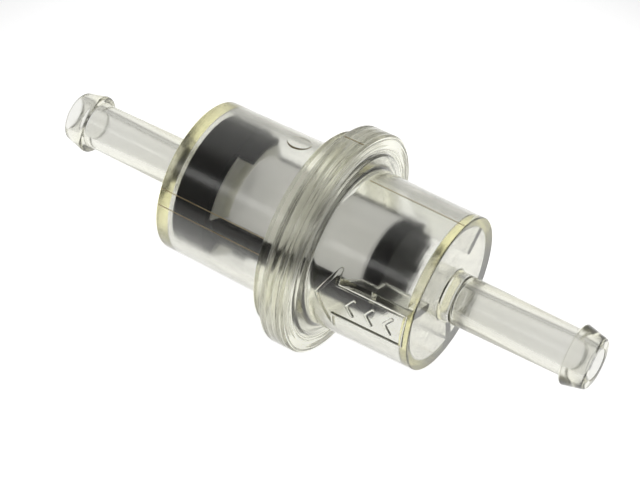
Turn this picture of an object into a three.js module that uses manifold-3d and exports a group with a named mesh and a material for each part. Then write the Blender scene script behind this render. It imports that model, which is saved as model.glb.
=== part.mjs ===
// Inline fuel filter for a small engine: two clear moulded housing halves, welded at a
// flange, around a black-caged mesh element. Millimetres, +X along the axis towards the
// inlet nipple, origin at the middle of the overall length.
//
// Everything is laid out by station: the distance along the axis from the flange's
// inlet-side face, positive towards the inlet. Angles about the axis are measured from
// +Z towards +Y.

import * as THREE from "three";
import { mergeVertices } from "three/addons/utils/BufferGeometryUtils.js";
import Module from "manifold-3d";

const wasm = await Module();
wasm.setup();

// ---- driving dimensions --------------------------------------------------------------

const FACETS = 48;
const GAP = 0.3; // clearance kept between neighbouring pieces
const OVERLAP = 0.4; // how far a feature is sunk into the wall that carries it

const WALL = 1.3;
const END_WALL = 1.4;
const BARREL_RADIUS = { flange: 10.46, end: 10.26 }; // outside, with moulding draft
const BORE_RADIUS = { flange: 9.1, end: 9.02 }; // inside of the barrels
const CORNER = 0.4; // rounding of the barrel ends, inside and out
const INLET_BARREL = 14.85; // flange face to end face
const OUTLET_BARREL = 16.8; // small ring to end face

const FLANGE = { radius: 14.85, width: 3.4, edge: 0.3 };
const STEP_RING = { radius: 13.25, width: 1.95 };
const FACE_STEP = { outer: 12.3, inner: 11.2, height: 0.35, chamfer: 0.1 };
const SPIGOT = { radius: 12.0, length: 2.5 };

const NIPPLE = { length: 20, rootRadius: 3.25, tipRadius: 3.08, fillet: 0.4 };
const BEAD = { length: 3.2, radius: 4.05, tipRadius: 3.2, edge: 0.3, crown: 0.15 };
const PASSAGE = { mouth: 2.05, deep: 1.6, pocketRadius: 2.4, pocketDepth: 2.85, edge: 0.4 };

const FIN = { count: 3, firstAngle: -64.5, thickness: 1.2, rampStart: 4, rampEnd: 6.2 };
const FIN_RADIUS = { guide: 7.05, stop: 5.4 }; // how far in the fins reach
const FIN_SHOULDER = 8.3; // station of the step that stops the end cap

const COLLAR = { radius: 8.75, passage: 5.3, start: -20.4, end: -15.5, chamfer: 0.4 };
const TAB = { count: 2, firstAngle: 10, span: 40, length: 2.6, thickness: 0.8, inset: 0.1 };
const SLEEVE = { radius: 6.0, thickness: 0.3, socketDepth: 2.0 };
const POTTING = { radius: 8.55, length: 1.5, rim: 0.2 };
const END_CAP = { radius: 6.0, start: 5.9, end: 8.0, plug: 0.8, edge: 0.25 };
const RIB = { frontAngle: -90, rearAngle: 90, width: 4.0, height: 0.8 };

const ARROW = { angle: -77, tip: 1.9, neck: 4.4, tail: 13.9, headHalf: 4.4, bodyHalf: 2.2 };
const STROKE = { width: 0.5, height: 0.3, step: 1.2 };
const CHEVRON = { count: 3, first: 6.2, pitch: 2.6, length: 0.9, half: 1.1 };
const PAD = { angle: 20, station: -9.5, radius: 1.7, height: 0.12 };

// Stations that follow from the dimensions above.
const INLET_END = INLET_BARREL;
const INLET_TIP = INLET_END + NIPPLE.length;
const STEP_END = -FLANGE.width;
const BARREL_START = STEP_END - STEP_RING.width;
const OUTLET_END = BARREL_START - OUTLET_BARREL;
const OUTLET_TIP = OUTLET_END - NIPPLE.length;
const SPIGOT_END = STEP_END + SPIGOT.length;
const SOCKET_FLOOR = SPIGOT_END + GAP;

// ---- materials -----------------------------------------------------------------------

function plastic(color, roughness, opacity = 1) {
  return new THREE.MeshStandardMaterial({
    color,
    roughness,
    metalness: 0,
    opacity,
    transparent: opacity < 1,
  });
}

const clearPlastic = () => plastic(0xdedccb, 0.12, 0.35);
const blackPlastic = () => plastic(0x2a2826, 0.45);
const wovenScreen = () => plastic(0xb4b2ac, 0.7);
const bondingResin = () => plastic(0xc4c3b8, 0.5);

// ---- geometry helpers ----------------------------------------------------------------

const radians = (degrees) => (degrees * Math.PI) / 180;

// Points on a quarter or other arc in the station-radius plane.
function arc(station, radius, size, fromDegrees, toDegrees, steps = 3) {
  const points = [];
  for (let i = 0; i <= steps; i++) {
    const angle = radians(fromDegrees + ((toDegrees - fromDegrees) * i) / steps);
    points.push([station + size * Math.cos(angle), radius + size * Math.sin(angle)]);
  }
  return points;
}

// A ring whose cross-section is a closed outline of [station, radius] points. The
// outside of the outline runs towards +X.
function turned(outline) {
  const points = [...outline, outline[0]].map(([s, r]) => new THREE.Vector2(r, s));
  return new THREE.LatheGeometry(points, FACETS).rotateZ(-Math.PI / 2);
}

// A full disc: the outline starts and ends on the axis.
function turnedSolid(outline) {
  const points = outline.map(([s, r]) => new THREE.Vector2(r, s));
  return new THREE.LatheGeometry(points, FACETS).rotateZ(-Math.PI / 2);
}

// A flat outline of [station, radius] points, thickened evenly and turned about the axis
// to stand at an angle.
function blade(outline, thickness, degrees) {
  const shape = new THREE.Shape(outline.map(([s, r]) => new THREE.Vector2(s, r)));
  const geometry = new THREE.ExtrudeGeometry(shape, { depth: thickness, bevelEnabled: false });
  geometry.translate(0, 0, -thickness / 2);
  geometry.rotateX(Math.PI / 2 - radians(degrees));
  return geometry;
}

// A curved bar: part of a ring between two radii, centred on an angle.
function sector(innerRadius, outerRadius, degrees, spanDegrees, start, end) {
  const half = radians(spanDegrees / 2);
  const shape = new THREE.Shape();
  shape.absarc(0, 0, outerRadius, -half, half, false);
  shape.absarc(0, 0, innerRadius, half, -half, true);
  const geometry = new THREE.ExtrudeGeometry(shape, {
    depth: end - start,
    bevelEnabled: false,
    curveSegments: 8,
  });
  geometry.rotateY(Math.PI / 2);
  geometry.translate(start, 0, 0);
  geometry.rotateX(Math.PI - radians(degrees));
  return geometry;
}

function toSolid(geometry) {
  const bare = geometry.clone();
  bare.deleteAttribute("normal");
  bare.deleteAttribute("uv");
  const merged = mergeVertices(bare);
  const vertProperties = new Float32Array(merged.attributes.position.array);
  const triVerts = new Uint32Array(merged.index.array);
  return new wasm.Manifold(new wasm.Mesh({ numProp: 3, vertProperties, triVerts }));
}

function toGeometry(solid) {
  const { vertProperties, triVerts } = solid.getMesh();
  const geometry = new THREE.BufferGeometry();
  geometry.setAttribute("position", new THREE.BufferAttribute(vertProperties, 3));
  geometry.setIndex(new THREE.BufferAttribute(triVerts, 1));
  geometry.computeVertexNormals();
  return geometry;
}

function piece(name, geometry, material) {
  const mesh = new THREE.Mesh(geometry, material);
  mesh.name = name;
  return mesh;
}

// ---- housings ------------------------------------------------------------------------

// Outside radius of the inlet barrel at a station, following its draft.
function inletRadius(station) {
  const t = station / INLET_BARREL;
  return BARREL_RADIUS.flange + (BARREL_RADIUS.end - BARREL_RADIUS.flange) * t;
}

// One hose nipple as [distance from the end face, radius] points, root to tip outside,
// then back down the fuel passage to the inner face of the end wall.
function nippleOutline() {
  const shoulder = NIPPLE.length - BEAD.length;
  const tip = NIPPLE.length;
  const pocketEnd = PASSAGE.pocketDepth - END_WALL;
  return {
    outside: [
      ...arc(NIPPLE.fillet, NIPPLE.rootRadius + NIPPLE.fillet, NIPPLE.fillet, 180, 270),
      [shoulder, NIPPLE.tipRadius],
      [shoulder, BEAD.radius - BEAD.crown],
      [shoulder + 2 * BEAD.crown, BEAD.radius],
      [tip - BEAD.edge, BEAD.tipRadius],
      [tip, BEAD.tipRadius - BEAD.edge],
    ],
    inside: [
      [tip, PASSAGE.mouth],
      [pocketEnd + PASSAGE.edge, PASSAGE.deep],
      [pocketEnd, PASSAGE.pocketRadius - PASSAGE.edge],
      [pocketEnd - PASSAGE.edge, PASSAGE.pocketRadius],
      [-END_WALL, PASSAGE.pocketRadius],
    ],
  };
}

function inletShell() {
  const nipple = nippleOutline();
  const place = ([distance, radius]) => [INLET_END + distance, radius];
  const innerFace = INLET_END - END_WALL;
  const faceFillet = FACE_STEP.inner - BARREL_RADIUS.flange;
  return turned([
    [STEP_END, SPIGOT.radius + GAP],
    [STEP_END, FLANGE.radius - FLANGE.edge],
    [STEP_END + FLANGE.edge, FLANGE.radius],
    [-FLANGE.edge, FLANGE.radius],
    [0, FLANGE.radius - FLANGE.edge],
    [0, FACE_STEP.outer],
    [FACE_STEP.height, FACE_STEP.outer - FACE_STEP.chamfer],
    ...arc(FACE_STEP.height + faceFillet, FACE_STEP.inner, faceFillet, 180, 270),
    ...arc(INLET_END - CORNER, BARREL_RADIUS.end - CORNER, CORNER, 90, 0),
    ...nipple.outside.map(place),
    ...nipple.inside.map(place),
    ...arc(innerFace - CORNER, BORE_RADIUS.end - CORNER, CORNER, 0, 90),
    [SOCKET_FLOOR, BORE_RADIUS.flange],
    [SOCKET_FLOOR, SPIGOT.radius + GAP],
  ]);
}

// Fins inside the inlet barrel: a ramp guides the element in, and the shoulder stops it.
function fin(degrees) {
  const root = BORE_RADIUS.end + OVERLAP;
  const end = INLET_END - END_WALL + OVERLAP;
  const outline = [
    [FIN.rampStart, root],
    [FIN.rampEnd, FIN_RADIUS.guide],
    [FIN_SHOULDER, FIN_RADIUS.guide],
    [FIN_SHOULDER, FIN_RADIUS.stop],
    [end, FIN_RADIUS.stop],
    [end, root],
  ];
  return blade(outline, FIN.thickness, degrees);
}

// A raised line on the inlet barrel between two [station, arc length] points, wrapped
// around the barrel.
function stroke([fromStation, fromArc], [toStation, toArc]) {
  const run = Math.hypot(toStation - fromStation, toArc - fromArc);
  const along = [(toStation - fromStation) / run, (toArc - fromArc) / run];
  const length = run + STROKE.width; // the ends overlap at each corner
  const depth = STROKE.height + OVERLAP;
  const steps = Math.ceil(run / STROKE.step);
  const geometry = new THREE.BoxGeometry(length, STROKE.width, depth, steps, 1, 1);
  const position = geometry.attributes.position;
  const middle = [(fromStation + toStation) / 2, (fromArc + toArc) / 2];
  for (let i = 0; i < position.count; i++) {
    const u = position.getX(i);
    const v = position.getY(i);
    const station = middle[0] + along[0] * u - along[1] * v;
    const arcLength = middle[1] + along[1] * u + along[0] * v;
    const base = inletRadius(station);
    const radius = base + position.getZ(i) + (STROKE.height - OVERLAP) / 2;
    const angle = radians(ARROW.angle) + arcLength / base;
    position.setXYZ(i, station, radius * Math.sin(angle), radius * Math.cos(angle));
  }
  return geometry;
}

// The raised flow arrow: an outline that points to the outlet, with plain chevrons.
function flowArrow() {
  const outline = [
    [ARROW.tip, 0],
    [ARROW.neck, ARROW.headHalf],
    [ARROW.neck, ARROW.bodyHalf],
    [ARROW.tail, ARROW.bodyHalf],
    [ARROW.tail, -ARROW.bodyHalf],
    [ARROW.neck, -ARROW.bodyHalf],
    [ARROW.neck, -ARROW.headHalf],
  ];
  const strokes = outline.map((point, i) => stroke(point, outline[(i + 1) % outline.length]));
  for (let i = 0; i < CHEVRON.count; i++) {
    const point = CHEVRON.first + i * CHEVRON.pitch;
    strokes.push(stroke([point, 0], [point + CHEVRON.length, CHEVRON.half]));
    strokes.push(stroke([point, 0], [point + CHEVRON.length, -CHEVRON.half]));
  }
  return strokes;
}

function inletHousing() {
  let solid = toSolid(inletShell());
  for (let i = 0; i < FIN.count; i++) {
    solid = solid.add(toSolid(fin(FIN.firstAngle + (i * 360) / FIN.count)));
  }
  for (const line of flowArrow()) {
    solid = solid.add(toSolid(line));
  }
  return piece("inlet_housing", toGeometry(solid), clearPlastic());
}

function outletShell() {
  const nipple = nippleOutline();
  const place = ([distance, radius]) => [OUTLET_END - distance, radius];
  const innerFace = OUTLET_END + END_WALL;
  const ringFace = STEP_END - GAP;
  return turned([
    ...nipple.outside.map(place).reverse(),
    ...arc(OUTLET_END + CORNER, BARREL_RADIUS.end - CORNER, CORNER, 180, 90),
    [BARREL_START, BARREL_RADIUS.flange],
    [BARREL_START, STEP_RING.radius - FLANGE.edge],
    [BARREL_START + FLANGE.edge, STEP_RING.radius],
    [ringFace, STEP_RING.radius],
    [ringFace, SPIGOT.radius],
    [SPIGOT_END, SPIGOT.radius],
    [SPIGOT_END, BORE_RADIUS.flange],
    ...arc(innerFace + CORNER, BORE_RADIUS.end - CORNER, CORNER, 90, 180),
    ...nipple.inside.map(place).reverse(),
  ]);
}

// The round witness pad that an ejector pin leaves on the outlet barrel.
function ejectorPad() {
  const top = BARREL_RADIUS.flange + PAD.height;
  const geometry = new THREE.CylinderGeometry(PAD.radius, PAD.radius, WALL / 2, 32);
  geometry.rotateX(Math.PI / 2);
  geometry.translate(PAD.station, 0, top - WALL / 4);
  geometry.rotateX(-radians(PAD.angle));
  return geometry;
}

function outletHousing() {
  const solid = toSolid(outletShell()).add(toSolid(ejectorPad()));
  return piece("outlet_housing", toGeometry(solid), clearPlastic());
}

// ---- filter element ------------------------------------------------------------------

// A tab on the collar's open edge, or the larger notch that clears it.
function tab(index, grown = 0) {
  const degrees = TAB.firstAngle + (index * 360) / TAB.count;
  const outer = COLLAR.radius - TAB.inset;
  const margin = (grown / outer) * (180 / Math.PI);
  return sector(
    outer - TAB.thickness - grown,
    outer + grown,
    degrees,
    TAB.span + 2 * margin,
    COLLAR.end - OVERLAP,
    COLLAR.end + TAB.length + grown,
  );
}

// The black ring that seats in the outlet barrel and carries the rest of the element.
function elementCollar() {
  const socketRadius = SLEEVE.radius + GAP;
  const socketFloor = COLLAR.end - SLEEVE.socketDepth;
  let solid = toSolid(
    turned([
      [COLLAR.start, COLLAR.passage],
      [COLLAR.start, COLLAR.radius - COLLAR.chamfer],
      [COLLAR.start + COLLAR.chamfer, COLLAR.radius],
      [COLLAR.end, COLLAR.radius],
      [COLLAR.end, socketRadius],
      [socketFloor, socketRadius],
      [socketFloor, COLLAR.passage],
    ]),
  );
  for (let i = 0; i < TAB.count; i++) {
    solid = solid.add(toSolid(tab(i)));
  }
  return piece("element_collar", toGeometry(solid), blackPlastic());
}

function screenSleeve() {
  const start = COLLAR.end - SLEEVE.socketDepth + GAP;
  const end = END_CAP.start - GAP;
  const inner = SLEEVE.radius - SLEEVE.thickness;
  const geometry = turned([
    [start, inner],
    [start, SLEEVE.radius],
    [end, SLEEVE.radius],
    [end, inner],
  ]);
  return piece("screen_sleeve", geometry, wovenScreen());
}

// A strap along the sleeve, from the collar to the far side of the end cap, or the larger
// block that clears it.
function strap(degrees, grown = 0) {
  const inner = SLEEVE.radius + GAP;
  const span = ((RIB.width + 2 * grown) / inner) * (180 / Math.PI);
  const outer = inner + RIB.height + grown;
  return sector(inner - grown, outer, degrees, span, COLLAR.end + GAP - grown, END_CAP.end);
}

function cageRib(name, degrees) {
  return piece(name, strap(degrees), blackPlastic());
}

// The resin fillet that seals the sleeve into the collar, clear of the tabs and the straps.
function pottingRing() {
  const start = COLLAR.end + GAP;
  const end = start + POTTING.length;
  const inner = SLEEVE.radius + GAP;
  let solid = toSolid(
    turned([
      [start, inner],
      [start, POTTING.radius],
      [start + POTTING.rim, POTTING.radius],
      [end, inner + POTTING.rim],
      [end, inner],
    ]),
  );
  for (let i = 0; i < TAB.count; i++) {
    solid = solid.subtract(toSolid(tab(i, GAP)));
  }
  for (const degrees of [RIB.frontAngle, RIB.rearAngle]) {
    solid = solid.subtract(toSolid(strap(degrees, GAP)));
  }
  return piece("potting_ring", toGeometry(solid), bondingResin());
}

function endCap() {
  const plugRadius = SLEEVE.radius - SLEEVE.thickness - GAP;
  const geometry = turnedSolid([
    [END_CAP.start - END_CAP.plug, 0],
    [END_CAP.start - END_CAP.plug, plugRadius],
    [END_CAP.start, plugRadius],
    [END_CAP.start, END_CAP.radius],
    [END_CAP.end - END_CAP.edge, END_CAP.radius],
    [END_CAP.end, END_CAP.radius - END_CAP.edge],
    [END_CAP.end, 0],
  ]);
  return piece("element_end_cap", geometry, blackPlastic());
}

// ---- assembly ------------------------------------------------------------------------

const stations = new THREE.Group(); // everything inside is placed by station
stations.add(
  outletHousing(),
  inletHousing(),
  elementCollar(),
  screenSleeve(),
  pottingRing(),
  cageRib("cage_rib_front", RIB.frontAngle),
  cageRib("cage_rib_rear", RIB.rearAngle),
  endCap(),
);
stations.position.x = -(INLET_TIP + OUTLET_TIP) / 2;

const fuelFilter = new THREE.Group();
fuelFilter.add(stations);
export default fuelFilter;
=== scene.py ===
"""Looks of the inline fuel filter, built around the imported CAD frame.

Everything is turned about the X axis. Shapes are written in millimetres as (x, radius)
outlines, with x measured in the CAD frame, and scaled to metres when a mesh is made.
Angles about the axis are measured from +Z towards +Y.
"""

from math import atan2, ceil, cos, pi, radians, sin, tan
from random import Random

import bmesh
import bpy
from mathutils import Matrix, Vector


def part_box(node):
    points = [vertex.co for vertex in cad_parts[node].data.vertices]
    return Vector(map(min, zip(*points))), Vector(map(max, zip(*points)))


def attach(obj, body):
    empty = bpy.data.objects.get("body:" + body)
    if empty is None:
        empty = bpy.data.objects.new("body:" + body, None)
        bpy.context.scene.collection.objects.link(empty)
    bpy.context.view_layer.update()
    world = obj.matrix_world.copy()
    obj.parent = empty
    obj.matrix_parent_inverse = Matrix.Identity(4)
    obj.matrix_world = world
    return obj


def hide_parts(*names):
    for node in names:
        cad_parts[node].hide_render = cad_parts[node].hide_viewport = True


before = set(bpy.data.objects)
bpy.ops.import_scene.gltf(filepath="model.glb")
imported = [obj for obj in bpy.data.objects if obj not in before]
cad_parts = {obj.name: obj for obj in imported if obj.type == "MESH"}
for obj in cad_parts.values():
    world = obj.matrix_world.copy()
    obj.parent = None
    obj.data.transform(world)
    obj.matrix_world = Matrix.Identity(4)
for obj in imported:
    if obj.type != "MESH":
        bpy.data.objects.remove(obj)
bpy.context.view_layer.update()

# ---- dimensions, in millimetres ----------------------------------------------------------

MM = 0.001
SEGMENTS = 192  # sides of a turned surface
SECTOR_STEP = 3  # degrees between the sections of a part of a turn
ON_AXIS = 1e-6  # a turned point closer to the axis than this lies on it
CORNER_STEPS = 5  # faces in each rounded corner
CORNER_SHARE = 0.49  # the most of a side that one rounded corner may take
BEVEL_STEPS = 3  # faces in each bevelled edge
BEVEL_ANGLE = 40  # an edge that bends by more degrees than this gets a bevel
SMOOTH_ANGLE = 35  # an edge that bends by fewer degrees than this is shaded smooth


def span(node):
    """Where a CAD node starts and ends along the axis."""
    low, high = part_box(node)
    return low.x / MM, high.x / MM


def reach(node):
    """How far a CAD node reaches from the axis, straight up."""
    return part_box(node)[1].z / MM


FLANGE_BACK, INLET_TIP = span("inlet_housing")
OUTLET_TIP, SPIGOT_END = span("outlet_housing")
FLANGE_RADIUS = reach("inlet_housing")
RING_RADIUS = reach("outlet_housing")
NIPPLE_LENGTH = 20.0
FLANGE_WIDTH = 3.4
RING_WIDTH = 1.95
INLET_END = INLET_TIP - NIPPLE_LENGTH
OUTLET_END = OUTLET_TIP + NIPPLE_LENGTH
FLANGE_FACE = FLANGE_BACK + FLANGE_WIDTH
BARREL_START = FLANGE_BACK - RING_WIDTH

END_WALL = 1.4
BARREL = {"flange": 10.46, "end": 10.26}  # outside radius at each end of the draft
BORE = {"flange": 9.1, "end": 9.02}
EDGE = 0.3  # rounding of the flange, ring and fin edges
CORNER = 0.2  # rounding of the barrel's, passage's and tabs' corners
SLIGHT = 0.15  # rounding of small and inner edges
CRISP = 0.1  # rounding of edges that look sharp
OVERLAP = 0.4  # how far a part reaches into the one it is joined to
MARGIN = 1.0  # how far a cutter reaches past what it clears away
JOINT_GAP = 0.3  # clearance that the CAD keeps between the two housings and round the sleeve
FIT = 0.05  # clearance between inner pieces that seem to touch
SPIGOT_RADIUS = 12.0
SPIGOT_LEAD_IN = 0.25
FACE_STEP = {"outer": 12.3, "inner": 11.2, "height": 0.35, "slope": 0.1}

NIPPLE = {"root": 3.25, "tip": 3.08, "fillet": 0.4}
BEAD = {"length": 3.2, "radius": 4.05, "tip": 3.35}
BEAD_ROUNDING = {"seat": 0.12, "back": 0.45, "nose": 0.6}
BEAD_CHAMFER = {"length": 0.2, "depth": 0.25}
PASSAGE = {"mouth": 2.05, "deep": 1.6, "pocket": 2.4, "pocket_depth": 2.85, "dome": 1.0}

FIN = {"count": 3, "angle": -64.5, "thickness": 1.2, "guide": 7.05, "stop": 5.4}
FIN_RAMP = (4.0, 6.2)  # start and end, from the flange face
FIN_SHOULDER = 8.3  # from the flange face

# Angles are in degrees, and places along the axis are from the flange face.
ARROW = {"angle": -77, "tip": 1.9, "neck": 4.4, "tail": 13.9, "head": 4.4, "body": 2.2}
STROKE = {"width": 0.5, "height": 0.22, "step": 0.5}
STROKE_FACES = {"end": 4, "top": 8}
STROKE_FULLNESS = 0.7  # below 1, the sides are steeper and the top is flatter than an ellipse
CHEVRON = {"count": 3, "first": 6.2, "pitch": 2.6, "length": 0.9, "half": 1.1}
PAD = {"angle": 20, "x": -9.5, "radius": 1.7, "height": 0.07, "slope": 0.2, "thickness": 0.7}
PAD_SIDES = 64
SEAM = {"outlet": (-58, -70.6), "inlet": (14.6,), "width": 0.12, "height": 0.05, "sink": 0.3}
SEAM_START = 1.0  # on the inlet barrel, from the step at the flange

# A groove wanders by up to half this share of the pitch to either side of its even place.
GROOVE = {"pitch": 0.42, "depth": 0.1, "half": 0.09, "wander": 0.5}
CHANCE = Random(7)  # draws the places and depths of the grooves

COLLAR_START = span("element_collar")[0]
COLLAR_RADIUS = 8.75
COLLAR_LENGTH = 4.9
COLLAR_END = COLLAR_START + COLLAR_LENGTH
COLLAR_PASSAGE = 5.3
COLLAR_ROUNDING = 0.4
SOCKET_DEPTH = 2.0
TAB = {"count": 2, "angle": 10, "span": 40, "length": 2.6, "thickness": 0.8, "inset": 0.1}
SLEEVE_RADIUS = reach("screen_sleeve")
SLEEVE_WALL = 0.3
WEAVE_PITCH = 0.2
WAVE_TURN = 2 * pi / 20  # a wave texture of scale 1 repeats at this distance
RIB = {"front": -90, "rear": 90, "width": 4.0, "height": 0.8, "notch": 42}
POTTING = {"land": 0.3, "knee": 0.75, "knee_height": 0.9, "fillet": 0.6, "lip": 0.15}
CAP = {"plug": 0.8, "rounding": 0.25}

# ---- mesh helpers ------------------------------------------------------------------------


def rounded(corners):
    """The closed outline through (x, radius, rounding) points, each corner turned into an arc."""
    points = []
    for i, (x, r, size) in enumerate(corners):
        here = Vector((x, r))
        before = Vector(corners[i - 1][:2]) - here
        after = Vector(corners[(i + 1) % len(corners)][:2]) - here
        half = before.angle(after) / 2
        setback = min(size / tan(half), before.length * CORNER_SHARE, after.length * CORNER_SHARE)
        if setback <= 0:
            points.append(here)
            continue
        start = before.normalized() * setback
        end = after.normalized() * setback
        middle = (start + end).normalized() * (setback / cos(half))
        bend = setback * tan(half)
        for k in range(CORNER_STEPS + 1):
            spoke = (start - middle).slerp(end - middle, k / CORNER_STEPS)
            points.append(here + middle + spoke.normalized() * bend)
    return [(p.x, p.y) for p in points]


def around(x, radius, angle):
    """The point in metres at a radius in millimetres and an angle in radians about the axis."""
    return Vector((x, radius * sin(angle), radius * cos(angle))) * MM


def mesh_object(name, bm, bevel=0.0):
    """Makes a bmesh into an object, after a bevel in millimetres on its sharp edges."""
    bmesh.ops.recalc_face_normals(bm, faces=bm.faces)
    if bevel:
        sharp = [edge for edge in bm.edges if edge.calc_face_angle(0) > radians(BEVEL_ANGLE)]
        bmesh.ops.bevel(bm, geom=sharp, offset=bevel * MM, segments=BEVEL_STEPS, affect="EDGES",
                        clamp_overlap=True, profile=0.5)
    mesh = bpy.data.meshes.new(name)
    bm.to_mesh(mesh)
    bm.free()
    thing = bpy.data.objects.new(name, mesh)
    bpy.context.scene.collection.objects.link(thing)
    return thing


def loft(bm, rings):
    """Skins a row of closed rings of vertices and caps both ends."""
    for a, b in zip(rings, rings[1:]):
        for i in range(len(a)):
            k = (i + 1) % len(a)
            bm.faces.new([a[i], a[k], b[k], b[i]])
    bm.faces.new(rings[0])
    bm.faces.new(rings[-1][::-1])


def turned(name, outline):
    """A closed outline of (x, radius) points turned about the axis."""
    turn = 2 * pi / SEGMENTS
    bm = bmesh.new()
    rings = []
    for x, r in outline:
        count = 1 if r < ON_AXIS else SEGMENTS
        rings.append([bm.verts.new(around(x, r, turn * j)) for j in range(count)])
    for a, b in zip(rings, rings[1:] + rings[:1]):
        for j in range(SEGMENTS):
            k = (j + 1) % SEGMENTS
            corners = [a[j % len(a)], a[k % len(a)], b[k % len(b)], b[j % len(b)]]
            face = list(dict.fromkeys(corners))
            if len(face) > 2:
                bm.faces.new(face)
    return mesh_object(name, bm)


def blade(name, outline, thickness, degrees, bevel=0.0):
    """A flat (x, radius) outline, thickened evenly and stood at an angle about the axis."""
    angle = radians(degrees)
    across = Vector((0, cos(angle), -sin(angle))) * MM
    bm = bmesh.new()
    sides = []
    for shift in (-thickness / 2, thickness / 2):
        sides.append([bm.verts.new(around(x, r, angle) + across * shift) for x, r in outline])
    loft(bm, sides)
    return mesh_object(name, bm, bevel)


def sector(name, outline, degrees, span_degrees, bevel=0.0):
    """A closed (x, radius) outline swept round part of a turn, centred on an angle."""
    steps = max(2, ceil(span_degrees / SECTOR_STEP))
    bm = bmesh.new()
    rings = []
    for j in range(steps + 1):
        angle = radians(degrees + span_degrees * (j / steps - 0.5))
        rings.append([bm.verts.new(around(x, r, angle)) for x, r in outline])
    loft(bm, rings)
    return mesh_object(name, bm, bevel)


def combine(thing, others, operation="UNION"):
    """Joins or cuts thing with each of the others, which are used up."""
    for other in others:
        step = thing.modifiers.new(other.name, "BOOLEAN")
        step.object = other
        step.operation = operation
        step.solver = "MANIFOLD"
        step.material_mode = "TRANSFER"
    settled = thing.evaluated_get(bpy.context.evaluated_depsgraph_get())
    mesh = bpy.data.meshes.new_from_object(settled)
    thing.modifiers.clear()
    thing.data = mesh
    for other in others:
        bpy.data.objects.remove(other)


def smooth(thing):
    """Smooth shading that keeps real corners crisp and flat faces flat."""
    thing.data.shade_smooth()
    thing.data.set_sharp_from_angle(angle=radians(SMOOTH_ANGLE))
    weighted = thing.modifiers.new("even_normals", "WEIGHTED_NORMAL")
    weighted.keep_sharp = True


def unroll(thing, radius):
    """UVs in millimetres that lay a turned surface out flat: round the axis, then along it."""
    mesh = thing.data
    layer = mesh.uv_layers.new(name="unrolled")
    for face in mesh.polygons:
        middle = atan2(face.center.y, face.center.z)
        for i in face.loop_indices:
            point = mesh.vertices[mesh.loops[i].vertex_index].co
            turn = (atan2(point.y, point.z) - middle + pi) % (2 * pi) - pi
            layer.data[i].uv = ((middle + turn) * radius, point.x / MM)


# ---- materials ---------------------------------------------------------------------------

NOISE_RANGE = (0.3, 0.7)  # where nearly all of a noise factor lies
PLASTIC_IOR = 1.53


def new_material(name):
    """An empty material, and a function that adds a node to it with some inputs set."""
    material = bpy.data.materials.new(name)
    material.use_nodes = True
    tree = material.node_tree
    tree.nodes.clear()

    def node(kind, **inputs):
        made = tree.nodes.new("ShaderNode" + kind)
        for key, value in inputs.items():
            socket = made.inputs[key.replace("_", " ")]
            if isinstance(value, bpy.types.NodeSocket):
                tree.links.new(value, socket)
            else:
                socket.default_value = value
        return made

    return material, node


def noise(node, scale, detail=3.0, stretch=(1, 1, 1)):
    """A noise factor in object space, with scale in features per metre."""
    place = node("TexCoord").outputs["Object"]
    mapped = node("Mapping", Vector=place, Scale=stretch)
    made = node("TexNoise", Vector=mapped.outputs["Vector"], Scale=scale, Detail=detail)
    return made.outputs[0]


def ranged(node, factor, low, high):
    """A noise factor spread over low to high."""
    spread = node("MapRange", Value=factor, From_Min=NOISE_RANGE[0], From_Max=NOISE_RANGE[1],
                  To_Min=low, To_Max=high)
    return spread.outputs[0]


def ramp(node, factor, *stops):
    """A colour that follows a factor through (position, colour) stops, in rising order."""
    made = node("ValToRGB", Fac=factor)
    marks = made.color_ramp.elements
    while len(marks) < len(stops):
        marks.new(0.5)
    for mark, (position, colour) in zip(marks, stops):
        mark.position = position
        mark.color = (*colour, 1)
    return made.outputs[0]


def clear_plastic():
    """Clear plastic with turning marks round the axis, scuffs along it and slow ripples.

    It is warmer in the end walls and duller in the nipples.
    """
    material, node = new_material("clear_plastic")
    along = node("SeparateXYZ", Vector=node("TexCoord").outputs["Object"])
    outward = node("Math", Value=along.outputs["X"])
    outward.operation = "ABSOLUTE"
    zone = node("MapRange", Value=outward.outputs[0], From_Min=(INLET_END - END_WALL) * MM,
                From_Max=(INLET_END + END_WALL) * MM)
    barrel = (0.89, 0.893, 0.89)
    wall = (0.85, 0.84, 0.79)
    nipple = (0.79, 0.79, 0.785)
    tone = ramp(node, zone.outputs[0], (0.0, barrel), (0.2, wall), (0.5, wall), (0.7, nipple))
    rings = noise(node, scale=3000, stretch=(1, 0.06, 0.06))
    scuffs = noise(node, scale=900, stretch=(0.25, 1, 1))
    ripple = noise(node, scale=260, detail=1.0)
    marked = node("Bump", Height=rings, Strength=0.3, Distance=0.00002)
    scuffed = node("Bump", Height=scuffs, Strength=0.04, Distance=0.00002, Normal=marked.outputs[0])
    wavy = node("Bump", Height=ripple, Strength=0.1, Distance=0.0001, Normal=scuffed.outputs[0])
    shader = node(
        "BsdfPrincipled",
        Roughness=ranged(node, scuffs, low=0.1, high=0.2),
        IOR=PLASTIC_IOR,
        Specular_IOR_Level=0.25,
        Transmission_Weight=1.0,
        Normal=wavy.outputs[0],
        Base_Color=tone,
    )
    tint = node("VolumeAbsorption", Color=(0.95, 0.92, 0.5, 1), Density=64.0)
    node("OutputMaterial", Surface=shader.outputs[0], Volume=tint.outputs[0])
    return material


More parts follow.
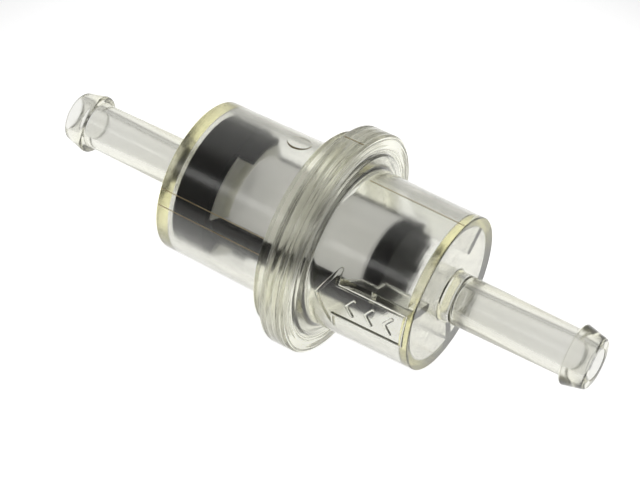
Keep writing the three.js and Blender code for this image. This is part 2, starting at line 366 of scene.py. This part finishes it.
def parting_line():
    """The same plastic where it squeezed thin between the mould halves, hazy and amber."""
    material, node = new_material("parting_line")
    flecks = noise(node, scale=2200)
    amber = (0.55, 0.4, 0.17)
    pale_amber = (0.85, 0.71, 0.4)
    bump = node("Bump", Height=flecks, Strength=0.3, Distance=0.00003)
    shader = node(
        "BsdfPrincipled",
        Base_Color=ramp(node, flecks, (0, amber), (1, pale_amber)),
        Roughness=ranged(node, flecks, low=0.3, high=0.5),
        IOR=PLASTIC_IOR,
        Transmission_Weight=0.6,
        Normal=bump.outputs[0],
    )
    node("OutputMaterial", Surface=shader.outputs[0])
    return material


def black_plastic():
    """Dull black plastic with a fine grain and slow flow marks along the axis."""
    material, node = new_material("black_plastic")
    grain = noise(node, scale=2600)
    flow = noise(node, scale=300, stretch=(0.4, 1, 1))
    black = (0.006, 0.0055, 0.005)
    worn_black = (0.018, 0.016, 0.014)
    bump = node("Bump", Height=grain, Strength=0.25, Distance=0.00004)
    shader = node(
        "BsdfPrincipled",
        Base_Color=ramp(node, flow, (0, black), (1, worn_black)),
        Roughness=ranged(node, grain, low=0.4, high=0.6),
        Specular_IOR_Level=0.04,
        Normal=bump.outputs[0],
    )
    node("OutputMaterial", Surface=shader.outputs[0])
    return material


def resin():
    """Pale, slightly lumpy resin that lets some light into itself."""
    material, node = new_material("bonding_resin")
    lumps = noise(node, scale=700)
    cream = (0.76, 0.755, 0.69)
    pale_cream = (0.88, 0.875, 0.82)
    bump = node("Bump", Height=lumps, Strength=0.4, Distance=0.0001)
    shader = node(
        "BsdfPrincipled",
        Base_Color=ramp(node, lumps, (0, cream), (1, pale_cream)),
        Roughness=ranged(node, lumps, low=0.35, high=0.55),
        Subsurface_Weight=0.8,
        Subsurface_Radius=(1, 1, 0.9),
        Subsurface_Scale=0.0008,
        Normal=bump.outputs[0],
    )
    node("OutputMaterial", Surface=shader.outputs[0])
    return material


def woven_screen():
    """A fine square weave over the unrolled sleeve, thin enough to see through.

    The emission stands for the light that the mesh passes on from behind.
    """
    material, node = new_material("woven_screen")
    uv = node("UVMap")
    uv.uv_map = "unrolled"
    threads = []
    for direction in "XY":
        wave = node("TexWave", Vector=uv.outputs[0], Scale=WAVE_TURN / WEAVE_PITCH, Distortion=0.4)
        wave.bands_direction = direction
        threads.append(wave.outputs["Fac"])
    weave = node("Math")
    weave.operation = "MAXIMUM"
    for thread, socket in zip(threads, weave.inputs):
        material.node_tree.links.new(thread, socket)
    fade = noise(node, scale=450)
    worn = node("MapRange", Value=fade, To_Min=0.88, To_Max=1.0)
    gap = (0.82, 0.82, 0.8)
    thread_top = (0.98, 0.975, 0.96)
    tone = ramp(node, weave.outputs[0], (0, gap), (1, thread_top))
    shade = node("VectorMath")
    shade.operation = "SCALE"
    material.node_tree.links.new(tone, shade.inputs[0])
    material.node_tree.links.new(worn.outputs[0], shade.inputs["Scale"])
    bump = node("Bump", Height=weave.outputs[0], Strength=0.3, Distance=0.00004)
    shader = node(
        "BsdfPrincipled",
        Base_Color=shade.outputs[0],
        Roughness=ranged(node, fade, low=0.45, high=0.65),
        Normal=bump.outputs[0],
        Emission_Color=(1, 0.995, 0.97, 1),
        Emission_Strength=0.24,
        Alpha=0.5,
    )
    node("OutputMaterial", Surface=shader.outputs[0])
    return material


def floor_paper():
    """White paper over a small light table, so it glows around the object and fades away from it."""
    material, node = new_material("floor_paper")
    fibres = noise(node, scale=900)
    bump = node("Bump", Height=fibres, Strength=0.05, Distance=0.0001)
    far = node("VectorMath", Vector=node("TexCoord").outputs["Object"])
    far.operation = "LENGTH"
    glow = node("MapRange", Value=far.outputs["Value"], From_Min=TABLE["near"], From_Max=TABLE["far"],
                To_Min=TABLE["glow"], To_Max=TABLE["far_glow"])
    glow.interpolation_type = "SMOOTHSTEP"
    shader = node(
        "BsdfPrincipled",
        Base_Color=(0.9, 0.9, 0.9, 1),
        Roughness=ranged(node, fibres, low=0.8, high=0.95),
        Emission_Color=(1, 1, 1, 1),
        Emission_Strength=glow.outputs[0],
        Normal=bump.outputs[0],
    )
    node("OutputMaterial", Surface=shader.outputs[0])
    return material


CLEAR = clear_plastic()
PARTING = parting_line()
BLACK = black_plastic()
RESIN = resin()
SCREEN = woven_screen()


def dress(thing, material, slot, *nodes):
    """Gives a piece its material, unless it has its own, hangs it under the root body and hides the CAD
    nodes that it stands for.
    """
    if not any(thing.data.materials):
        thing.data.materials.clear()
        thing.data.materials.append(material)
    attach(thing, "root")
    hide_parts(*nodes)


# ---- housings ----------------------------------------------------------------------------


def grooves(start, end):
    """Fine V grooves at uneven places from start to end, as a turned mould leaves: (place, depth)."""
    count = round(abs(end - start) / GROOVE["pitch"])
    half = GROOVE["half"] if end > start else -GROOVE["half"]
    for i in range(count):
        shift = 0.5 + GROOVE["wander"] * (CHANCE.random() - 0.5)
        middle = start + (end - start) * (i + shift) / count
        yield middle - half, 0
        yield middle, GROOVE["depth"] * CHANCE.random()
        yield middle + half, 0


def rim_lines(start, end, radius, away=-1):
    """Grooves round a cylinder from one x to another, cut towards the axis, or away from it with 1."""
    return [(x, radius + away * depth, 0) for x, depth in grooves(start, end)]


def face_lines(x, outer, inner):
    """Circular grooves in a face that looks along +X, from one radius to another."""
    return [(x - depth, r, 0) for r, depth in grooves(outer, inner)]


def nipple_outside():
    """From the end face out to the tip, as (distance, radius, rounding)."""
    shoulder = NIPPLE_LENGTH - BEAD["length"]
    return [
        (0, NIPPLE["root"], NIPPLE["fillet"]),
        (shoulder, NIPPLE["tip"], BEAD_ROUNDING["seat"]),
        (shoulder, BEAD["radius"], BEAD_ROUNDING["back"]),
        (NIPPLE_LENGTH - BEAD_CHAMFER["length"], BEAD["tip"], BEAD_ROUNDING["nose"]),
        (NIPPLE_LENGTH, BEAD["tip"] - BEAD_CHAMFER["depth"], SLIGHT),
    ]


def nipple_inside():
    """From the tip down the fuel passage to the inner face of the end wall."""
    pocket_end = PASSAGE["pocket_depth"] - END_WALL
    return [
        (NIPPLE_LENGTH, PASSAGE["mouth"], SLIGHT),
        (pocket_end, PASSAGE["deep"], CORNER),
        (pocket_end, PASSAGE["pocket"], PASSAGE["dome"]),
        (-END_WALL, PASSAGE["pocket"], CORNER),
    ]


def inlet_outline():
    """The section of the inlet half, from its back edge over the flange and round to the socket."""

    def place(points):
        return [(INLET_END + distance, r, size) for distance, r, size in points]

    step = FLANGE_FACE + FACE_STEP["height"]
    step_edge = FACE_STEP["outer"] + FACE_STEP["slope"]
    socket_floor = SPIGOT_END + JOINT_GAP
    socket_radius = SPIGOT_RADIUS + JOINT_GAP
    return rounded([
        (FLANGE_BACK, socket_radius, CRISP),
        (FLANGE_BACK, FLANGE_RADIUS, EDGE),
        *rim_lines(FLANGE_BACK + EDGE, FLANGE_FACE - EDGE, FLANGE_RADIUS),
        (FLANGE_FACE - EDGE / 2, FLANGE_RADIUS, EDGE / 2),
        (FLANGE_FACE, FLANGE_RADIUS - EDGE, EDGE / 2),
        *face_lines(FLANGE_FACE, FLANGE_RADIUS - EDGE, step_edge),
        (FLANGE_FACE, FACE_STEP["outer"], CRISP),
        (step, FACE_STEP["outer"] - FACE_STEP["slope"], CRISP),
        (step, BARREL["flange"], FACE_STEP["inner"] - BARREL["flange"]),
        (INLET_END, BARREL["end"], CORNER),
        *place(nipple_outside()),
        *place(nipple_inside()),
        (INLET_END - END_WALL, BORE["end"], CORNER),
        (socket_floor, BORE["flange"], SLIGHT),
        (socket_floor, socket_radius, CRISP),
        *rim_lines(socket_floor, FLANGE_BACK, socket_radius, away=1),
    ])


def outlet_outline():
    """The section of the outlet half, from its nipple over the ring and the spigot to the bore."""

    def place(points):
        return [(OUTLET_END - distance, r, size) for distance, r, size in reversed(points)]

    ring_face = FLANGE_BACK - JOINT_GAP
    return rounded([
        *place(nipple_outside()),
        (OUTLET_END, BARREL["end"], CORNER),
        (BARREL_START, BARREL["flange"], SLIGHT),
        (BARREL_START, RING_RADIUS, EDGE),
        *rim_lines(BARREL_START + EDGE, ring_face - EDGE, RING_RADIUS),
        (ring_face, RING_RADIUS, SLIGHT),
        (ring_face, SPIGOT_RADIUS, CRISP),
        *rim_lines(ring_face, SPIGOT_END - EDGE, SPIGOT_RADIUS),
        (SPIGOT_END, SPIGOT_RADIUS, SPIGOT_LEAD_IN),
        (SPIGOT_END, BORE["flange"], SLIGHT),
        (OUTLET_END + END_WALL, BORE["end"], CORNER),
        *place(nipple_inside()),
    ])


def fin(degrees):
    """An inner fin of the inlet housing: a ramp, then the shoulder that stops the end cap."""
    root = BORE["end"] + OVERLAP
    end = INLET_END - END_WALL + OVERLAP
    outline = [
        (FLANGE_FACE + FIN_RAMP[0], root),
        (FLANGE_FACE + FIN_RAMP[1], FIN["guide"]),
        (FLANGE_FACE + FIN_SHOULDER, FIN["guide"]),
        (FLANGE_FACE + FIN_SHOULDER, FIN["stop"]),
        (end, FIN["stop"]),
        (end, root),
    ]
    return blade("fin", outline, FIN["thickness"], degrees, bevel=EDGE)


def barrel_radius(x):
    """Outside radius of the inlet barrel at x, following its draft."""
    t = (x - FLANGE_FACE) / (INLET_END - FLANGE_FACE)
    return BARREL["flange"] + (BARREL["end"] - BARREL["flange"]) * t


def stroke_section(size):
    """The section of a raised line as (side, height), scaled by size where its ends taper."""
    half = STROKE["width"] / 2 * size
    section = [(-half, -OVERLAP)]
    for k in range(STROKE_FACES["top"] + 1):
        angle = pi * (1 - k / STROKE_FACES["top"])
        section.append((half * cos(angle), STROKE["height"] * size * sin(angle) ** STROKE_FULLNESS))
    section.append((half, -OVERLAP))
    return section


def stroke(start, end):
    """A raised line with a rounded top and ends, between (x, arc length) points on the inlet barrel."""
    along = Vector(end) - Vector(start)
    length = along.length
    along.normalize()
    across = Vector((-along.y, along.x))
    half = STROKE["width"] / 2
    steps = max(2, ceil(length / STROKE["step"]))
    bends = [pi / 2 * k / STROKE_FACES["end"] for k in range(1, STROKE_FACES["end"])]
    places = [(-half * cos(bend), sin(bend)) for bend in bends]
    places += [(length * k / steps, 1.0) for k in range(steps + 1)]
    places += [(length + half * sin(bend), cos(bend)) for bend in bends]
    bm = bmesh.new()
    rings = []
    for distance, size in places:
        ring = []
        for side, height in stroke_section(size):
            point = Vector(start) + along * distance + across * side
            base = barrel_radius(point.x)
            angle = radians(ARROW["angle"]) + point.y / base
            ring.append(bm.verts.new(around(point.x, base + height, angle)))
        rings.append(ring)
    loft(bm, rings)
    return mesh_object("stroke", bm)


def flow_arrow():
    """The outline of an arrow that points to the outlet, with plain chevrons inside."""
    tip, neck, tail = (FLANGE_FACE + ARROW[part] for part in ("tip", "neck", "tail"))
    head, body = ARROW["head"], ARROW["body"]
    outline = [(tip, 0), (neck, head), (neck, body), (tail, body),
               (tail, -body), (neck, -body), (neck, -head)]
    lines = [stroke(point, outline[(i + 1) % len(outline)]) for i, point in enumerate(outline)]
    for i in range(CHEVRON["count"]):
        point = FLANGE_FACE + CHEVRON["first"] + i * CHEVRON["pitch"]
        for side in (-1, 1):
            lines.append(stroke((point, 0), (point + CHEVRON["length"], side * CHEVRON["half"])))
    return lines


def seams(outline, angles):
    """The fine raised lines that the two halves of the mould leave along an outside outline."""
    parts = []
    for degrees in angles:
        for side in (0, 180):
            raised = [(x, r + SEAM["height"]) for x, r in outline]
            sunk = [(x, r - SEAM["sink"]) for x, r in reversed(outline)]
            line = blade("seam", raised + sunk, SEAM["width"], degrees + side)
            line.data.materials.append(PARTING)
            parts.append(line)
    return parts


def inlet_housing():
    """The clear half with the large flange, the fins and the flow arrow."""
    shell = turned("inlet_housing_clear", inlet_outline())
    shell.data.materials.append(CLEAR)
    fins = [fin(FIN["angle"] + i * 360 / FIN["count"]) for i in range(FIN["count"])]
    start = FLANGE_FACE + FACE_STEP["height"] + SEAM_START
    barrel = [(x, barrel_radius(x)) for x in (start, INLET_END - CORNER)]
    rim = [(FLANGE_BACK + EDGE, FLANGE_RADIUS), (FLANGE_FACE - EDGE, FLANGE_RADIUS)]
    combine(shell, fins + flow_arrow() + seams(barrel, SEAM["inlet"]) + seams(rim, SEAM["inlet"]))
    smooth(shell)
    dress(shell, CLEAR, "clear_housing", "inlet_housing")


def ejector_pad():
    """The round witness pad on the outlet barrel, with an amber edge."""
    angle = radians(PAD["angle"])
    top = BARREL["flange"] + PAD["height"]
    place = Matrix.Rotation(-angle, 4, "X")
    bm = bmesh.new()
    bmesh.ops.create_cone(bm, cap_ends=True, segments=PAD_SIDES, radius1=PAD["radius"] * MM,
                          radius2=(PAD["radius"] - PAD["slope"]) * MM, depth=PAD["thickness"] * MM)
    for face in bm.faces:
        is_cap = len(face.verts) == PAD_SIDES
        face.material_index = 0 if is_cap else 1
    centre = Vector((FLANGE_FACE + PAD["x"], 0, top - PAD["thickness"] / 2)) * MM
    bmesh.ops.transform(bm, matrix=place @ Matrix.Translation(centre), verts=bm.verts)
    pad = mesh_object("pad", bm)
    pad.data.materials.append(CLEAR)
    pad.data.materials.append(PARTING)
    return pad


def outlet_housing():
    """The clear half with the spigot and the witness pad."""
    shell = turned("outlet_housing_clear", outlet_outline())
    shell.data.materials.append(CLEAR)
    line = [(OUTLET_END + CORNER, BARREL["end"]), (BARREL_START, BARREL["flange"])]
    combine(shell, [ejector_pad()] + seams(line, SEAM["outlet"]))
    smooth(shell)
    dress(shell, CLEAR, "clear_housing", "outlet_housing")


# ---- filter element ----------------------------------------------------------------------


def tab(index, grown=0.0):
    """A tab on the collar's open edge, or the larger block that clears it."""
    outer = COLLAR_RADIUS - TAB["inset"] + grown
    inner = COLLAR_RADIUS - TAB["inset"] - TAB["thickness"] - grown
    wide = TAB["span"] + 2 * grown / outer * 180 / pi
    outline = [
        (COLLAR_END - OVERLAP, inner),
        (COLLAR_END - OVERLAP, outer),
        (COLLAR_END + TAB["length"] + grown, outer),
        (COLLAR_END + TAB["length"] + grown, inner),
    ]
    return sector("tab", outline, TAB["angle"] + index * 360 / TAB["count"], wide, bevel=CORNER)


def element_collar():
    """The black ring that holds the sleeve's outlet end, with its tabs."""
    socket_radius = SLEEVE_RADIUS + JOINT_GAP
    socket_floor = COLLAR_END - SOCKET_DEPTH
    ring = turned("collar_ring", rounded([
        (COLLAR_START, COLLAR_PASSAGE, CORNER),
        (COLLAR_START, COLLAR_RADIUS, COLLAR_ROUNDING),
        (COLLAR_END, COLLAR_RADIUS, SLIGHT),
        (COLLAR_END, socket_radius, SLIGHT),
        (socket_floor, socket_radius, 0),
        (socket_floor, COLLAR_PASSAGE, SLIGHT),
    ]))
    combine(ring, [tab(i) for i in range(TAB["count"])])
    smooth(ring)
    dress(ring, BLACK, "black_frame", "element_collar")


def screen_sleeve():
    """The tube of mesh that the fuel passes through."""
    start, end = span("screen_sleeve")
    inner = SLEEVE_RADIUS - SLEEVE_WALL
    outline = [(start, inner), (start, SLEEVE_RADIUS), (end, SLEEVE_RADIUS), (end, inner)]
    sleeve = turned("mesh_sleeve", outline)
    unroll(sleeve, SLEEVE_RADIUS)
    smooth(sleeve)
    dress(sleeve, SCREEN, "woven_screen", "screen_sleeve")


def cage_rib(name, node, degrees):
    """A rib that starts right at the collar, as the two look like one moulding."""
    inner = SLEEVE_RADIUS + JOINT_GAP
    outer = inner + RIB["height"]
    start, end = COLLAR_END + FIT, span(node)[1]
    outline = [(start, inner), (start, outer), (end, outer), (end, inner)]
    wide = RIB["width"] / inner * 180 / pi
    rib = sector(name, outline, degrees, wide, bevel=SLIGHT)
    smooth(rib)
    dress(rib, BLACK, "black_frame", node)


def rib_notch(degrees):
    """The block that clears the potting away where a rib leaves the collar."""
    low, high = SLEEVE_RADIUS, COLLAR_RADIUS + MARGIN
    start, end = COLLAR_END, span("potting_ring")[1] + MARGIN
    outline = [(start, low), (start, high), (end, high), (end, low)]
    return sector("notch", outline, degrees, RIB["notch"])


def potting_ring():
    """The fillet of resin that bonds the sleeve into the collar."""
    start, end = span("potting_ring")
    inner, outer = SLEEVE_RADIUS + FIT, reach("potting_ring")
    ring = turned("potting_fillet", rounded([
        (start, inner, 0),
        (start, outer, CRISP),
        (start + POTTING["land"], outer, CRISP),
        (start + POTTING["knee"], inner + POTTING["knee_height"], POTTING["fillet"]),
        (end, inner + POTTING["lip"], CRISP),
        (end, inner, 0),
    ]))
    cuts = [tab(i, FIT) for i in range(TAB["count"])]
    cuts += [rib_notch(RIB["front"]), rib_notch(RIB["rear"])]
    combine(ring, cuts, "DIFFERENCE")
    smooth(ring)
    dress(ring, RESIN, "bonding_resin", "potting_ring")


def end_cap():
    """The black disc and plug that close the sleeve's inlet end."""
    start, end = span("element_end_cap")
    radius = reach("element_end_cap")
    plug_radius = SLEEVE_RADIUS - SLEEVE_WALL - FIT
    face = start + CAP["plug"]
    disc = turned("end_cap_disc", rounded([
        (start, 0, 0),
        (start, plug_radius, SLIGHT),
        (face, plug_radius, 0),
        (face, radius, CRISP),
        (end, radius, CAP["rounding"]),
        (end, 0, 0),
    ]))
    smooth(disc)
    dress(disc, BLACK, "black_frame", "element_end_cap")


# ---- studio ------------------------------------------------------------------------------

VIEW_AZIMUTH = 33.0
VIEW_ELEVATION = 48.06
LENS = 110.3
# Where the middle of the flange face lies along the camera's own axes, in millimetres.
FLANGE_IN_VIEW = Vector((3.5, -0.648, -244.4))
# The sky's brightness, and the cosines to its bright direction between which it changes.
SKY = {"towards": (0, 0.94, 0.342), "edge": (0.05, 0.6), "front": 0.14, "back": 0.7}
# The floor's emission near the object and beyond, and the distances in metres where it changes.
TABLE = {"near": 0.045, "far": 0.12, "glow": 0.85, "far_glow": 0.1}
FLOOR_REACH = 3.0  # metres from the middle to each side
FRONT_STRIP = {
    "direction": (-0.364, -0.643, 0.673),
    "distance": 0.5,
    "width": 0.5,
    "height": 0.08,
    "power": 0.18,
}


def camera():
    """A camera at the photograph's angle, aimed by where the flange face lies in its view."""
    data = bpy.data.cameras.new("camera")
    data.lens = LENS
    data.clip_start = 0.01
    data.clip_end = 20
    cam = bpy.data.objects.new("camera", data)
    bpy.context.scene.collection.objects.link(cam)
    tilt = Matrix.Rotation(radians(90 - VIEW_ELEVATION), 3, "X")
    turn = Matrix.Rotation(radians(VIEW_AZIMUTH), 3, "Z") @ tilt
    cam.rotation_euler = turn.to_euler()
    cam.location = Vector((FLANGE_FACE, 0, 0)) * MM - turn @ FLANGE_IN_VIEW * MM
    bpy.context.scene.camera = cam


def floor():
    """The paper that the flange rests on."""
    bm = bmesh.new()
    bmesh.ops.create_grid(bm, x_segments=8, y_segments=8, size=FLOOR_REACH)
    bmesh.ops.translate(bm, verts=bm.verts, vec=(0, 0, -FLANGE_RADIUS * MM))
    plane = mesh_object("floor", bm)
    plane.data.materials.append(floor_paper())


def area_light(name, direction, distance, width, height, power):
    """A soft light, in metres and watts, that faces the object from a direction."""
    data = bpy.data.lights.new(name, "AREA")
    data.shape = "RECTANGLE"
    data.size = width
    data.size_y = height
    data.energy = power
    lamp = bpy.data.objects.new(name, data)
    bpy.context.scene.collection.objects.link(lamp)
    lamp.location = Vector(direction).normalized() * distance
    lamp.rotation_euler = lamp.location.to_track_quat("Z", "Y").to_euler()


def sky():
    """Light that is bright at the back, fades softly overhead and is dim in front."""
    world = bpy.data.worlds.new("studio")
    world.use_nodes = True
    tree = world.node_tree
    direction = tree.nodes.new("ShaderNodeTexCoord").outputs["Generated"]
    towards = tree.nodes.new("ShaderNodeVectorMath")
    towards.operation = "DOT_PRODUCT"
    towards.inputs[1].default_value = SKY["towards"]
    tree.links.new(direction, towards.inputs[0])
    spread = tree.nodes.new("ShaderNodeMapRange")
    spread.interpolation_type = "SMOOTHSTEP"
    for socket, value in zip(spread.inputs[1:5], (*SKY["edge"], SKY["front"], SKY["back"])):
        socket.default_value = value
    tree.links.new(towards.outputs["Value"], spread.inputs["Value"])
    background = tree.nodes["Background"]
    background.inputs["Color"].default_value = (1, 1, 1, 1)
    tree.links.new(spread.outputs[0], background.inputs["Strength"])
    bpy.context.scene.world = world


def studio():
    """The lights, and enough light bounces to see through the clear walls."""
    sky()
    area_light("front_strip", **FRONT_STRIP)
    scene = bpy.context.scene
    scene.view_settings.view_transform = "Standard"
    scene.cycles.use_denoising = True
    scene.cycles.max_bounces = 32
    scene.cycles.transmission_bounces = 32
    scene.cycles.transparent_max_bounces = 16


camera()
floor()
studio()
outlet_housing()
inlet_housing()
element_collar()
screen_sleeve()
potting_ring()
cage_rib("rib_front", "cage_rib_front", RIB["front"])
cage_rib("rib_rear", "cage_rib_rear", RIB["rear"])
end_cap()
